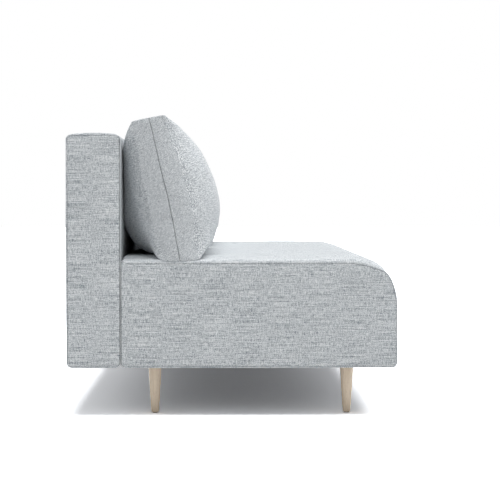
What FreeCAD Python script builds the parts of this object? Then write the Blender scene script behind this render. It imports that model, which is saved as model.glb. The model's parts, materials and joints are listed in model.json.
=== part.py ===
import FreeCAD, Part
import math
import os
from FreeCAD import Vector

# Armless two-seat sofa: a seat unit on turned legs, a back unit bolted behind it, two loose cushions.
# Millimetres. X runs along the length, the front faces -Y, Z is up and the floor is at zero.

# Overall sizes
sofa_length = 1800.0
sofa_depth = 950.0
back_depth = 155.0
leg_height = 140.0
seat_height = 455.0
back_height = 812.0

# Upholstery of the two units
cover_thickness = 1.6
dust_cloth_thickness = 1.0
dust_cloth_inset = 18.0
end_roll = 14.0
end_seam_inset = 15.0
edge_radius = 16.0
front_reach = 140.0
front_nose_radius = 90.0
front_flank_turn = 22.5
hem_width = 45.0
joint_hem_width = 25.0
top_pad = 20.0
end_pad = 20.0
back_rear_pad = 17.0

# Timber frame
board = 28.0
rail_height = 140.0
cross_rail_height = 100.0
cross_rail_spacing = 586.0
plate_length = 130.0
plate_depth = 150.0
plate_thickness = 18.0
block_leg = 60.0
block_height = 90.0
rear_board_thickness = 3.0

# Webbing and felt that carry the foam
strap_width = 60.0
strap_thickness = 2.0
weave_gap = 0.2
straps_across = 9
straps_along = 3
back_straps = 4
back_strap_setback = 40.0
felt_thickness = 3.0

# Legs
leg_end_inset = 100.0
leg_front_inset = 139.0
leg_rear_inset = 95.0
leg_top_radius = 20.0
leg_foot_radius = 12.0
leg_foot_chamfer = 2.5
glide_radius = 8.5
glide_height = 2.5

# Fasteners
fit = 0.1
stud_radius = 4.0
stud_in_leg = 35.0
nut_plate_width = 30.0
nut_plate_thickness = 4.0
bolt_radius = 4.0
bolt_head_across_flats = 13.0
bolt_head_height = 5.3
bolt_tip = 4.0
bolt_beside_post = 85.0
bolt_rise = 85.0
washer_width = 24.0
washer_thickness = 2.0
cloth_slit_play = 0.5

# Loose back cushions, measured ahead of and behind the seam that rings each one, and up along it
cushion_gap = 6.0
cushion_lean = 12.5
cushion_height = 414.0
cushion_boxing = 94.0
cushion_foot_setback = 169.0
cushion_sink = 7.7
cushion_foot = -10.0
cushion_cloth = 1.4
cushion_clearance = 0.3
fill_gap = 0.2
front_belly = 147.0
front_belly_height = 165.0
front_foot = 45.0
rear_belly = 128.0
rear_belly_height = 215.0
rear_foot = 15.0
end_swell_reach = 150.0
end_swell_margin = 3.0

# Levels and faces worked out from the sizes above
half_length = sofa_length / 2
front_face = -sofa_depth / 2
rear_face = sofa_depth / 2
joint_face = rear_face - back_depth
hem_level = leg_height + dust_cloth_thickness
frame_level = hem_level + cover_thickness
rail_top = frame_level + rail_height
plate_top = hem_level + plate_thickness
frame_end = half_length - cover_thickness - end_pad
frame_front = front_face + cover_thickness + top_pad
frame_rear = joint_face - cover_thickness
inner_end = frame_end - board
inner_front = frame_front + board
inner_rear = frame_rear - board
post_front = joint_face + cover_thickness + board
post_rear = rear_face - cover_thickness - back_rear_pad - rear_board_thickness
top_rail_top = back_height - cover_thickness - top_pad
foam_top = seat_height - cover_thickness - top_pad
strap_middle = rail_top + strap_thickness / 2
weave_step = (strap_thickness + weave_gap) / 2
felt_level = strap_middle + weave_step + strap_thickness / 2
foam_level = felt_level + felt_thickness
leg_x = half_length - leg_end_inset
front_leg_places = [(side * leg_x, front_face + leg_front_inset) for side in (-1, 1)]
rear_leg_places = [(side * leg_x, joint_face - leg_rear_inset) for side in (-1, 1)]
leg_places = front_leg_places + rear_leg_places
post_centres = [
    -frame_end + board / 2,
    -cross_rail_spacing / 2,
    cross_rail_spacing / 2,
    frame_end - board / 2,
]
RIGHT = Vector(1, 0, 0)
BEHIND = Vector(0, 1, 0)
AHEAD = Vector(0, -1, 0)
UP = Vector(0, 0, 1)
DOWN = Vector(0, 0, -1)
HEX_SIDES = 6
HEX_TURN = 2 * math.pi / HEX_SIDES
PAST = 5.0
SAME_PLACE = 1e-4


def box(x0, x1, y0, y1, z0, z1):
    """A board between two opposite corners."""
    return Part.makeBox(x1 - x0, y1 - y0, z1 - z0, Vector(x0, y0, z0))


def square_bar(width, x, y, z0, z1):
    """An upright square bar round a centre."""
    return box(x - width / 2, x + width / 2, y - width / 2, y + width / 2, z0, z1)


def cross_bar(width, x, z, y0, y1):
    """A square bar that runs from front to back round a centre."""
    return box(x - width / 2, x + width / 2, y0, y1, z - width / 2, z + width / 2)


def round_bar(radius, place, direction, length):
    """A round bar from a place, along a direction."""
    return Part.makeCylinder(radius, length, place, direction)


def quarter_round(tip, back_way, on_way, radius):
    """A quarter circle in place of a corner, with its start and end."""
    start = tip + back_way * radius
    end = tip + on_way * radius
    middle = tip + (back_way + on_way) * radius * (1 - math.sqrt(0.5))
    return [Part.Arc(start, middle, end).toShape()], start, end


def full_corner(tip, back_way, on_way, inset):
    """The plump front edge: a tight arc between two flatter ones, all tangent."""
    turn = math.radians(front_flank_turn)
    nose = front_nose_radius - inset
    reach = front_reach - inset
    flank_share = math.sin(turn) + 1 - math.cos(turn)
    flank = (reach - nose * (math.cos(turn) - math.sin(turn))) / flank_share
    start = tip + back_way * reach
    spot = start
    edges = []
    quarter = math.pi / 2
    for radius, first, last in (
        (flank, 0, turn),
        (nose, turn, quarter - turn),
        (flank, quarter - turn, quarter),
    ):

        def swing(angle):
            back = radius * (math.sin(first) - math.sin(angle))
            on = radius * (math.cos(first) - math.cos(angle))
            return spot + back_way * back + on_way * on

        middle, end = swing((first + last) / 2), swing(last)
        edges.append(Part.Arc(spot, middle, end).toShape())
        spot = end
    return edges, start, spot


def closed_outline(corners):
    """A closed wire through corner curves, with straight edges between them."""
    edges = []
    for index, (curves, start, end) in enumerate(corners):
        edges += curves
        edges.append(Part.LineSegment(end, corners[(index + 1) % len(corners)][1]).toShape())
    return Part.Wire(Part.__sortEdges__(edges))


def square_corner(tip):
    """A sharp corner, in the form that closed_outline takes."""
    return [], tip, tip


def seat_outline(inset):
    """The seat unit's end outline, set in by a thickness."""
    y0, y1 = front_face + inset, joint_face - inset
    z0, z1 = hem_level + inset, seat_height - inset
    radius = edge_radius - inset
    return closed_outline(
        [
            quarter_round(Vector(0, y0, z0), UP, BEHIND, radius),
            quarter_round(Vector(0, y1, z0), AHEAD, UP, radius),
            quarter_round(Vector(0, y1, z1), DOWN, AHEAD, radius),
            full_corner(Vector(0, y0, z1), BEHIND, DOWN, inset),
        ]
    )


def back_outline(inset):
    """The back unit's end outline, set in by a thickness."""
    y0, y1 = joint_face + inset, rear_face - inset
    z0, z1 = hem_level + inset, back_height - inset
    radius = edge_radius - inset
    return closed_outline(
        [
            quarter_round(Vector(0, y0, z0), UP, BEHIND, radius),
            quarter_round(Vector(0, y1, z0), AHEAD, UP, radius),
            quarter_round(Vector(0, y1, z1), DOWN, AHEAD, radius),
            quarter_round(Vector(0, y0, z1), BEHIND, DOWN, radius),
        ]
    )


def foam_outline(low):
    """The seat foam's end outline from a level up, with the plump front edge."""
    return closed_outline(
        [
            square_corner(Vector(0, frame_front, low)),
            square_corner(Vector(0, frame_rear, low)),
            square_corner(Vector(0, frame_rear, foam_top)),
            full_corner(
                Vector(0, frame_front, foam_top), BEHIND, DOWN, cover_thickness + top_pad
            ),
        ]
    )


def along_length(wire, x0, x1):
    """A solid with one outline all along, between two places on the length."""
    face = Part.Face(wire)
    face.translate(Vector(x0, 0, 0))
    return face.extrude(Vector(x1 - x0, 0, 0))


def end_edges(solid, ends):
    """The edges that lie in the flat ends at the given places."""
    found = []
    for edge in solid.Edges:
        spots = [vertex.X for vertex in edge.Vertexes]
        if any(all(abs(x - end) < SAME_PLACE for x in spots) for end in ends):
            found.append(edge)
    return found


def planed_rail(face, inner, low, high):
    """A rail by the joint of the units, with its lower arris planed off for the cover's round corner."""
    arris = edge_radius - cover_thickness
    inwards = 1 if inner > face else -1
    outline = [
        Vector(0, face, low + arris),
        Vector(0, face + inwards * arris, low),
        Vector(0, inner, low),
        Vector(0, inner, high),
        Vector(0, face, high),
        Vector(0, face, low + arris),
    ]
    return along_length(Part.makePolygon(outline), -frame_end, frame_end)


def bolt_places():
    """Where the back is bolted to the seat: beside each post, on the side of the middle."""
    places = []
    for x in post_centres:
        inwards = -1 if x > 0 else 1
        places.append((x + inwards * (board / 2 + bolt_beside_post), frame_level + bolt_rise))
    return places


def bolt_holes(y0, y1):
    """The row of round holes for the unit bolts, between two faces."""
    radius = bolt_radius + fit
    return Part.makeCompound(
        [round_bar(radius, Vector(x, y0, z), BEHIND, y1 - y0) for x, z in bolt_places()]
    )


def plate_corner(x, y):
    """The inner corner of the frame nearest a leg, and the signs that lead from it inwards."""
    side = 1 if x > 0 else -1
    is_front = y < (frame_front + frame_rear) / 2
    corner_y = inner_front if is_front else inner_rear
    return side * inner_end, corner_y, -side, (1 if is_front else -1)


def corner_box(x, y, length, depth, z0, z1):
    """A block in the frame's inner corner nearest a leg."""
    corner_x, corner_y, in_x, in_y = plate_corner(x, y)
    x0, x1 = sorted((corner_x, corner_x + in_x * length))
    y0, y1 = sorted((corner_y, corner_y + in_y * depth))
    return box(x0, x1, y0, y1, z0, z1)


def corner_block(x, y):
    """A three-sided glue block that stands on a leg plate in the frame's corner."""
    corner_x, corner_y, in_x, in_y = plate_corner(x, y)
    corner = Vector(corner_x, corner_y, plate_top)
    along_rail = corner + Vector(in_x * block_leg, 0, 0)
    along_side = corner + Vector(0, in_y * block_leg, 0)
    base = Part.Face(Part.makePolygon([corner, along_rail, along_side, corner]))
    return base.extrude(UP * block_height)


def seat_frame():
    """Rails, cross rails, leg plates and corner blocks of the seat."""
    front = box(-frame_end, frame_end, frame_front, inner_front, frame_level, rail_top)
    rear = planed_rail(frame_rear, inner_rear, frame_level, rail_top)
    left = box(-frame_end, -inner_end, inner_front, inner_rear, frame_level, rail_top)
    right = box(inner_end, frame_end, inner_front, inner_rear, frame_level, rail_top)
    crosses = []
    for x in post_centres[1:3]:
        crosses.append(
            box(
                x - board / 2,
                x + board / 2,
                inner_front,
                inner_rear,
                frame_level,
                frame_level + cross_rail_height,
            )
        )
    plates = []
    for x, y in leg_places:
        plate = corner_box(x, y, plate_length, plate_depth, hem_level, plate_top)
        hole = round_bar(stud_radius + fit, Vector(x, y, leg_height), UP, plate_top)
        plates.append(plate.cut(hole))
    return {
        "seat_front_rail": front,
        "seat_rear_rail": rear.cut(bolt_holes(inner_rear - PAST, frame_rear + PAST)),
        "seat_left_rail": left,
        "seat_right_rail": right,
        "seat_cross_rails": Part.makeCompound(crosses),
        "seat_leg_plates": Part.makeCompound(plates),
        "seat_corner_blocks": Part.makeCompound([corner_block(x, y) for x, y in leg_places]),
    }


def strap_side(start, end, crossings):
    """One strap seen from its edge: flat on both rails, and over or under each strap it meets."""
    line = [(start, strap_middle), (start + board, strap_middle)]
    for centre, is_over in crossings:
        level = strap_middle + (weave_step if is_over else -weave_step)
        line += [(centre - strap_width / 2, level), (centre + strap_width / 2, level)]
    line += [(end - board, strap_middle), (end, strap_middle)]
    half = strap_thickness / 2
    low = [(distance, z - half) for distance, z in line]
    high = [(distance, z + half) for distance, z in reversed(line)]
    return low + high + low[:1]


def seat_webbing():
    """Elastic straps woven over and under each other across the top of the seat frame."""
    x_step = 2 * inner_end / straps_across
    y_step = (inner_rear - inner_front) / straps_along
    xs = [-inner_end + (i + 0.5) * x_step for i in range(straps_across)]
    ys = [inner_front + (k + 0.5) * y_step for k in range(straps_along)]
    across, along = [], []
    for i, x in enumerate(xs):
        crossings = [(y, (i + k) % 2 == 0) for k, y in enumerate(ys)]
        side = strap_side(frame_front, frame_rear, crossings)
        edge = Part.makePolygon([Vector(x - strap_width / 2, d, z) for d, z in side])
        across.append(Part.Face(edge).extrude(RIGHT * strap_width))
    for k, y in enumerate(ys):
        crossings = [(x, (i + k) % 2 == 1) for i, x in enumerate(xs)]
        side = strap_side(-frame_end, frame_end, crossings)
        edge = Part.makePolygon([Vector(d, y - strap_width / 2, z) for d, z in side])
        along.append(Part.Face(edge).extrude(BEHIND * strap_width))
    return {
        "seat_webbing_across": Part.makeCompound(across),
        "seat_webbing_along": Part.makeCompound(along),
    }


def end_pads(prefix, outline):
    """The soft pad on each end of a unit, bevelled where its cover rolls over."""
    pads = {}
    pad_end = half_length - cover_thickness
    for name, side in (("left", -1), ("right", 1)):
        x0, x1 = sorted((side * frame_end, side * pad_end))
        pad = along_length(outline(cover_thickness), x0, x1)
        bevel = end_roll - cover_thickness
        pads[f"{prefix}_{name}_end_pad"] = pad.makeChamfer(bevel, end_edges(pad, [side * pad_end]))
    return pads


def seat_padding():
    """Felt, foam core, the soft layer over its top and front, and the end pads."""
    whole = along_length(seat_outline(cover_thickness), -frame_end, frame_end)
    under = along_length(foam_outline(hem_level), -frame_end, frame_end)
    return {
        "seat_felt": box(-frame_end, frame_end, frame_front, frame_rear, felt_level, foam_level),
        "seat_foam_core": along_length(foam_outline(foam_level), -frame_end, frame_end),
        "seat_soft_layer": whole.cut(under),
        **end_pads("seat", seat_outline),
    }


def unit_cover(prefix, outline, front, rear, front_hem, rear_hem):
    """A sewn cover: a band round the length and a panel let into each end, hemmed underneath."""
    outer = along_length(outline(0), -half_length, half_length)
    outer = outer.makeFillet(end_roll, end_edges(outer, [-half_length, half_length]))
    lining = half_length - cover_thickness
    inner = along_length(outline(cover_thickness), -lining, lining)
    inner = inner.makeChamfer(end_roll - cover_thickness, end_edges(inner, [-lining, lining]))
    opening = box(
        -half_length + hem_width,
        half_length - hem_width,
        front + front_hem,
        rear - rear_hem,
        hem_level - PAST,
        frame_level + fit,
    )
    slit = 2 * (bolt_radius + cloth_slit_play)
    slits = Part.makeCompound(
        [cross_bar(slit, x, z, joint_face - PAST, joint_face + PAST) for x, z in bolt_places()]
    )
    band = outer.cut(inner).cut(opening).cut(slits)
    nodes = {}
    for name, side in (("left", -1), ("right", 1)):
        x0, x1 = sorted((side * lining, side * (half_length + PAST)))
        window = along_length(outline(end_seam_inset), x0, x1)
        nodes[f"{prefix}_cover_{name}_end"] = band.common(window)
        band = band.cut(window)
    nodes[f"{prefix}_cover_band"] = band
    cloth = box(
        -half_length + dust_cloth_inset,
        half_length - dust_cloth_inset,
        front + dust_cloth_inset,
        rear - dust_cloth_inset,
        leg_height,
        hem_level,
    )
    stud_slit = 2 * (stud_radius + cloth_slit_play)
    for x, y in leg_places:
        cloth = cloth.cut(square_bar(stud_slit, x, y, 0, seat_height))
    nodes[f"{prefix}_dust_cloth"] = cloth
    return nodes


def leg(x, y):
    """One turned leg, tapered, with a bevelled foot and a hole for its stud."""
    foot_z = glide_height
    outline = [
        Vector(0, 0, foot_z),
        Vector(leg_foot_radius - leg_foot_chamfer, 0, foot_z),
        Vector(leg_foot_radius, 0, foot_z + leg_foot_chamfer),
        Vector(leg_top_radius, 0, leg_height),
        Vector(0, 0, leg_height),
        Vector(0, 0, foot_z),
    ]
    turned = Part.Face(Part.makePolygon(outline)).revolve(Vector(0, 0, 0), UP, 360)
    turned.translate(Vector(x, y, 0))
    hole_foot = leg_height - stud_in_leg - fit
    return turned.cut(round_bar(stud_radius + fit, Vector(x, y, hole_foot), UP, leg_height))


def legs():
    """The legs, the studs and nut plates that hold them, and the glides under them."""
    stud_foot = leg_height - stud_in_leg
    stud_length = plate_top + nut_plate_thickness - stud_foot
    studs, nuts, glides = [], [], []
    for x, y in leg_places:
        studs.append(round_bar(stud_radius, Vector(x, y, stud_foot), UP, stud_length))
        nut = square_bar(nut_plate_width, x, y, plate_top, plate_top + nut_plate_thickness)
        bore = round_bar(stud_radius + fit, Vector(x, y, plate_top - PAST), UP, 3 * PAST)
        nuts.append(nut.cut(bore))
        glides.append(round_bar(glide_radius, Vector(x, y, 0), UP, glide_height))
    return {
        "front_legs": Part.makeCompound([leg(x, y) for x, y in front_leg_places]),
        "rear_legs": Part.makeCompound([leg(x, y) for x, y in rear_leg_places]),
        "leg_studs": Part.makeCompound(studs),
        "leg_nut_plates": Part.makeCompound(nuts),
        "leg_glides": Part.makeCompound(glides),
    }


def back_frame():
    """Rails and posts of the back, its rear board and the straps behind its foam."""
    base_top = frame_level + board
    top_rail_low = top_rail_top - board
    posts = [
        box(x - board / 2, x + board / 2, post_front, post_rear, base_top, top_rail_low)
        for x in post_centres
    ]
    bottom = planed_rail(joint_face + cover_thickness, post_front, frame_level, rail_top)
    first = rail_top + back_strap_setback + strap_width / 2
    last = top_rail_low - back_strap_setback - strap_width / 2
    straps = []
    for i in range(back_straps):
        middle = first + i * (last - first) / (back_straps - 1)
        low, high = middle - strap_width / 2, middle + strap_width / 2
        straps.append(
            box(-frame_end, frame_end, post_front - strap_thickness, post_front, low, high)
        )
    rear_board_rear = post_rear + rear_board_thickness
    return {
        "back_bottom_rail": bottom.cut(bolt_holes(joint_face, post_front + PAST)),
        "back_base_board": box(
            -frame_end, frame_end, post_front, post_rear, frame_level, base_top
        ),
        "back_top_rail": box(
            -frame_end, frame_end, post_front, post_rear, top_rail_low, top_rail_top
        ),
        "back_left_post": posts[0],
        "back_middle_posts": Part.makeCompound(posts[1:3]),
        "back_right_post": posts[3],
        "back_rear_board": box(
            -frame_end, frame_end, post_rear, rear_board_rear, frame_level, top_rail_top
        ),
        "back_webbing": Part.makeCompound(straps),
    }


def back_padding():
    """Foam before the back's frame, a pad behind it, one over its top and one on each end."""
    whole = along_length(back_outline(cover_thickness), -frame_end, frame_end)
    foam_rear = post_front - strap_thickness
    pad_front = post_rear + rear_board_thickness
    front_zone = box(-frame_end, frame_end, joint_face, foam_rear, rail_top, top_rail_top)
    rear_zone = box(-frame_end, frame_end, pad_front, rear_face, frame_level, top_rail_top)
    top_zone = box(-frame_end, frame_end, joint_face, rear_face, top_rail_top, back_height)
    return {
        "back_front_foam": whole.common(front_zone),
        "back_rear_pad": whole.common(rear_zone),
        "back_top_pad": whole.common(top_zone),
        **end_pads("back", back_outline),
    }


def unit_bolts():
    """The bolts that pull the back against the seat, with their washers and nut plates."""
    bolts, washers, nuts = [], [], []
    head_radius = bolt_head_across_flats / 2 / math.cos(HEX_TURN / 2)
    head_seat = inner_rear - washer_thickness
    nut_rear = post_front + nut_plate_thickness
    shank_length = nut_rear + bolt_tip - head_seat
    bores = bolt_holes(head_seat - PAST, nut_rear + PAST)
    for x, z in bolt_places():
        washers.append(cross_bar(washer_width, x, z, head_seat, inner_rear).cut(bores))
        nuts.append(cross_bar(nut_plate_width, x, z, post_front, nut_rear).cut(bores))
        centre = Vector(x, head_seat, z)
        corners = []
        for i in range(HEX_SIDES):
            turn = i * HEX_TURN
            across, up = head_radius * math.cos(turn), head_radius * math.sin(turn)
            corners.append(centre + RIGHT * across + UP * up)
        outline = Part.makePolygon(corners + corners[:1])
        head = Part.Face(outline).extrude(AHEAD * bolt_head_height)
        bolts.append(head.fuse(round_bar(bolt_radius, centre, BEHIND, shank_length)))
    return {
        "unit_bolts": Part.makeCompound(bolts),
        "unit_washers": Part.makeCompound(washers),
        "unit_nut_plates": Part.makeCompound(nuts),
    }


def swelling(full, low, place):
    """An arc that leaves its fullest point along the cushion and swings in to a lower one.

    Both points are (across, along), and place turns such a pair into a point in space.
    """
    rise = full[0] - low[0]
    run = low[1] - full[1]
    radius = (rise ** 2 + run ** 2) / (2 * rise)
    half_turn = math.asin(run / radius) / 2
    middle = (full[0] - radius * (1 - math.cos(half_turn)), full[1] + radius * math.sin(half_turn))
    return Part.Arc(place(full), place(middle), place(low)).toShape()


def cushion_side(inset):
    """The cushion's outline seen from its end, upright: boxed top, two bellies and a narrow foot."""

    def ahead(point):
        return Vector(0, -point[0], point[1])

    def behind(point):
        return Vector(0, point[0], point[1])

    top = (cushion_boxing / 2 - inset, cushion_height - inset)
    edges = []
    for place, belly, height, foot in (
        (ahead, front_belly, front_belly_height, front_foot),
        (behind, rear_belly, rear_belly_height, rear_foot),
    ):
        full = (belly - inset, height)
        edges.append(swelling(full, top, place))
        edges.append(swelling(full, (foot - inset, cushion_foot + inset), place))
    edges.append(Part.LineSegment(ahead(top), behind(top)).toShape())
    front_low = ahead((front_foot - inset, cushion_foot + inset))
    rear_low = behind((rear_foot - inset, cushion_foot + inset))
    edges.append(Part.LineSegment(front_low, rear_low).toShape())
    return Part.Wire(Part.__sortEdges__(edges))


def cushion_plan(half, inset):
    """The cushion's outline seen along its seam: both faces swing in to the boxed ends."""
    edges = []
    corners = []
    end = (cushion_boxing / 2 - inset, half - inset)
    for way, belly in ((-1, front_belly), (1, rear_belly)):
        full = (belly + end_swell_margin - inset, half - end_swell_reach)
        for side in (-1, 1):

            def place(point):
                return Vector(side * point[1], way * point[0], 0)

            edges.append(swelling(full, end, place))
            corners.append((place(full), place(end)))
    front_left, front_right, rear_left, rear_right = corners
    for first, last in (
        (front_left[0], front_right[0]),
        (rear_left[0], rear_right[0]),
        (front_left[1], rear_left[1]),
        (front_right[1], rear_right[1]),
    ):
        edges.append(Part.LineSegment(first, last).toShape())
    return Part.Wire(Part.__sortEdges__(edges))


def lean_back(shape, centre):
    """Take a shape drawn upright round a cushion's seam to the place where the cushion leans."""
    shape.rotate(Vector(0, 0, 0), RIGHT, -cushion_lean)
    shape.translate(
        Vector(centre, joint_face - cushion_foot_setback, seat_height - cushion_sink)
    )
    return shape


def cushion_body(centre, inset):
    """The closed form of a cushion, flat where it rests on the seat and leans on the back."""
    half = (sofa_length - cushion_gap) / 4
    side = along_length(cushion_side(inset), -half + inset, half - inset)
    plan = Part.Face(cushion_plan(half, inset))
    plan.translate(UP * (cushion_foot - PAST))
    plump = side.common(plan.extrude(UP * (cushion_height - cushion_foot + 2 * PAST)))
    room = box(
        centre - half - PAST,
        centre + half + PAST,
        front_face,
        joint_face - cushion_clearance - inset,
        seat_height + cushion_clearance + inset,
        back_height + cushion_height,
    )
    return lean_back(plump, centre).common(room)


def cushion(side):
    """One loose cushion: a front and a rear panel that meet at the seam, round a soft filling."""
    centre = side * (sofa_length + cushion_gap) / 4
    shell = cushion_body(centre, 0).cut(cushion_body(centre, cushion_cloth))
    ahead = box(-half_length, half_length, -sofa_depth, 0, -seat_height, 2 * cushion_height)
    ahead = lean_back(ahead, centre)
    name = "cushion_left" if side < 0 else "cushion_right"
    return {
        f"{name}_front_panel": shell.common(ahead),
        f"{name}_rear_panel": shell.cut(ahead),
        f"{name}_filling": cushion_body(centre, cushion_cloth + fill_gap),
    }


def all_nodes():
    """Every piece of the sofa by name."""
    nodes = {}
    for group in (
        seat_frame(),
        seat_webbing(),
        seat_padding(),
        unit_cover("seat", seat_outline, front_face, joint_face, hem_width, joint_hem_width),
        legs(),
        back_frame(),
        back_padding(),
        unit_cover("back", back_outline, joint_face, rear_face, joint_hem_width, hem_width),
        unit_bolts(),
        cushion(-1),
        cushion(1),
    ):
        nodes.update(group)
    return nodes


os.makedirs("parts", exist_ok=True)
for node_name, shape in all_nodes().items():
    shape.exportStep(f"parts/{node_name}.step")
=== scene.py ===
import json
import math

import bmesh
import bpy
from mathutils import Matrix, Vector, noise


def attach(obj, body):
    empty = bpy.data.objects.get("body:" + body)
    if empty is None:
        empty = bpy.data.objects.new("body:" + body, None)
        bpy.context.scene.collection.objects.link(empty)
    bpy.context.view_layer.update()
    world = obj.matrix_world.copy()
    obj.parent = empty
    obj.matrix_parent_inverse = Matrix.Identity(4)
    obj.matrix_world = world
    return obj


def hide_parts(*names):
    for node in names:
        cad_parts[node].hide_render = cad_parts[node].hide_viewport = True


# Looks of an armless two-seat sofa in pale blue-grey slub cloth, on four turned beech legs.
# Metres. X runs along the length, the front faces -Y, Z is up and the floor is at zero.

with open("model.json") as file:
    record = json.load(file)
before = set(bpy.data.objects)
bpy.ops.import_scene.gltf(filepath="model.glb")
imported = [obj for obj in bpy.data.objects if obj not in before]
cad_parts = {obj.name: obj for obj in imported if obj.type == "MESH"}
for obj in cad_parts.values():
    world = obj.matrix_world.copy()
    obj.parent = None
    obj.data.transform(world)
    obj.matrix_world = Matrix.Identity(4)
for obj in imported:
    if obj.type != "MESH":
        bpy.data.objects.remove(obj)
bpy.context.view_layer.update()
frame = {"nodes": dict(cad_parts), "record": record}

# Sizes that the construction fixes
HALF_LENGTH = 0.9
FRONT_FACE = -0.475
JOINT_FACE = 0.32
REAR_FACE = 0.475
HEM_LEVEL = 0.141
SEAT_TOP = 0.455
SEAT_CROWN = 0.0060
SEAT_CROWN_END = 0.80
SEAT_END_DIP = 0.0030
BACK_TOP = 0.812
CORNER_RADIUS = 0.016
FRONT_REACH = 0.140
FRONT_NOSE = 0.090
FRONT_TURN = math.radians(22.5)
COVER_CLOTH = 0.0016
THREAD_PITCH = 0.0016
HEM_WIDTH = 0.045
JOINT_HEM_WIDTH = 0.025

# The seam that lets the end panels into the covers, and the share of the painted shade in its groove that
# shows by place
SEAM_DEPTH = 0.0013
SEAM_HALF_WIDTH = 0.0013
SEAM_TUCK = 0.2
SEAM_SHADE_SHOWN = 0.12
SEAT_TOP_SEAM_SHADE_SHOWN = 0.45
JOINT_SEAM_SHADE_SHOWN = 0.9
# Painted shade on the rolls beside the joint between seat and back
JOINT_PAINTED_SHADE = 0.4

# The roll from the band into an end, and the steps of the covers' meshes
ROLL_STEPS = 8
SIDE_ROLL = 0.003
JOINT_ROLL = 0.0008
SEAT_TOP_ROLL = 0.014
BACK_TOP_ROLL = 0.004
RING_STEP = 0.016
OUTLINE_STEP = 0.008
CORNER_STEPS = 8
QUARTER = math.pi / 2

# How far the stretched covers swell
SEAT_FRONT_SWELL = 0.0010
SEAT_FORWARD_RISE = 0.0010
BACK_CROWN = 0.0029
BACK_CROWN_FALL = 0.0060
BACK_REAR_SWELL = 0.0012

# An end panel's edge: how far in from its rim, how far out, and how much of the seam's painted shade
PANEL_EDGE = (
    (0.0, -SEAM_DEPTH, 1.0),
    (0.0010, -0.0002, 0.25),
    (0.0022, 0.0006, 0.0),
    (0.005, 0.0009, 0.0),
)
PANEL_LIFT = 0.0009
PANEL_SWELL = 0.0012
PANEL_WAVES = 1.2
PANEL_RINGS = 25

# Loose cushions, upright round their seam before they lean back
CUSHION_GAP = 0.006
CUSHION_HALF = (2 * HALF_LENGTH - CUSHION_GAP) / 4
CUSHION_HEIGHT = 0.414
CUSHION_FOOT = -0.010
TOP_CROWN = 0.003
CUSHION_LEAN = math.radians(12.5)
CUSHION_SETBACK = 0.169
CUSHION_SINK = 0.0091
BOXING = 0.094

# A cushion's face: its fullest depth, the height of that, the depth at its foot,
# and the power by which it falls away above
FRONT_BELLY, FRONT_BELLY_HEIGHT, FRONT_FOOT, FRONT_ROUND = 0.147, 0.165, 0.045, 2.5
REAR_BELLY, REAR_BELLY_HEIGHT, REAR_FOOT, REAR_ROUND = 0.128, 0.215, 0.015, 2.7
FOOT_ROUND_SHARE = 0.6

# How far in from its ends a face swells to that depth, and the power of the swell
FRONT_END_SWELL, FRONT_END_POWER = 0.160, 0.75
REAR_END_SWELL, REAR_END_POWER = 0.240, 1.15

# Forms that the stitching and the filling give a cushion
END_FULLNESS = 0.024
TOP_PINCH = 0.45
TOP_CORNER_WIDENING = 0.08
HIDDEN_BULGE = 0.030
LUMP_HEIGHT = 0.004
TOP_RISE = 0.010
TOP_TILT, TOP_LIFT = 0.045, 0.004

# How a cushion settles: what it touches gets a flat place with a soft edge, and its outer end sags
CONTACT_GAP = 0.0004
END_SETTLE = 0.10
END_OVERHANG = 0.006
END_SAG = 0.006

CUSHION_CELL = 0.009
CUSHION_SEAM_DEPTH = 0.0025

# The slack that the filling takes up: shares of length, depth and height about the middle
SLACK = (0.985, 0.955, 0.975)
SLACK_MIDDLE = 0.202
PRESSURE = 4.0
SIM_FRAMES = 20
SIM_REACH = 0.018

# Legs
LEG_PLACES = {
    "front_legs": ((-0.8, -0.336), (0.8, -0.336)),
    "rear_legs": ((-0.8, 0.225), (0.8, 0.225)),
}
LEG_TOP = 0.14
LEG_TOP_RADIUS = 0.020
LEG_FOOT_RADIUS = 0.012
LEG_FOOT_LEVEL = 0.0025
LEG_FOOT_ROUND = 0.004
LEG_BELLY = 0.0004
LEG_SIDES = 64


def linear(red, green, blue):
    """An sRGB colour from 0 to 255, in the linear values that a shader takes."""
    values = []
    for level in (red, green, blue):
        share = level / 255
        values.append(share / 12.92 if share <= 0.04045 else ((share + 0.055) / 1.055) ** 2.4)
    return (*values, 1.0)


def smooth(edge0, edge1, value):
    """0 below the first edge, 1 above the second, and a smooth step between them."""
    share = min(max((value - edge0) / (edge1 - edge0), 0.0), 1.0)
    return share * share * (3 - 2 * share)


# Materials


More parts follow.
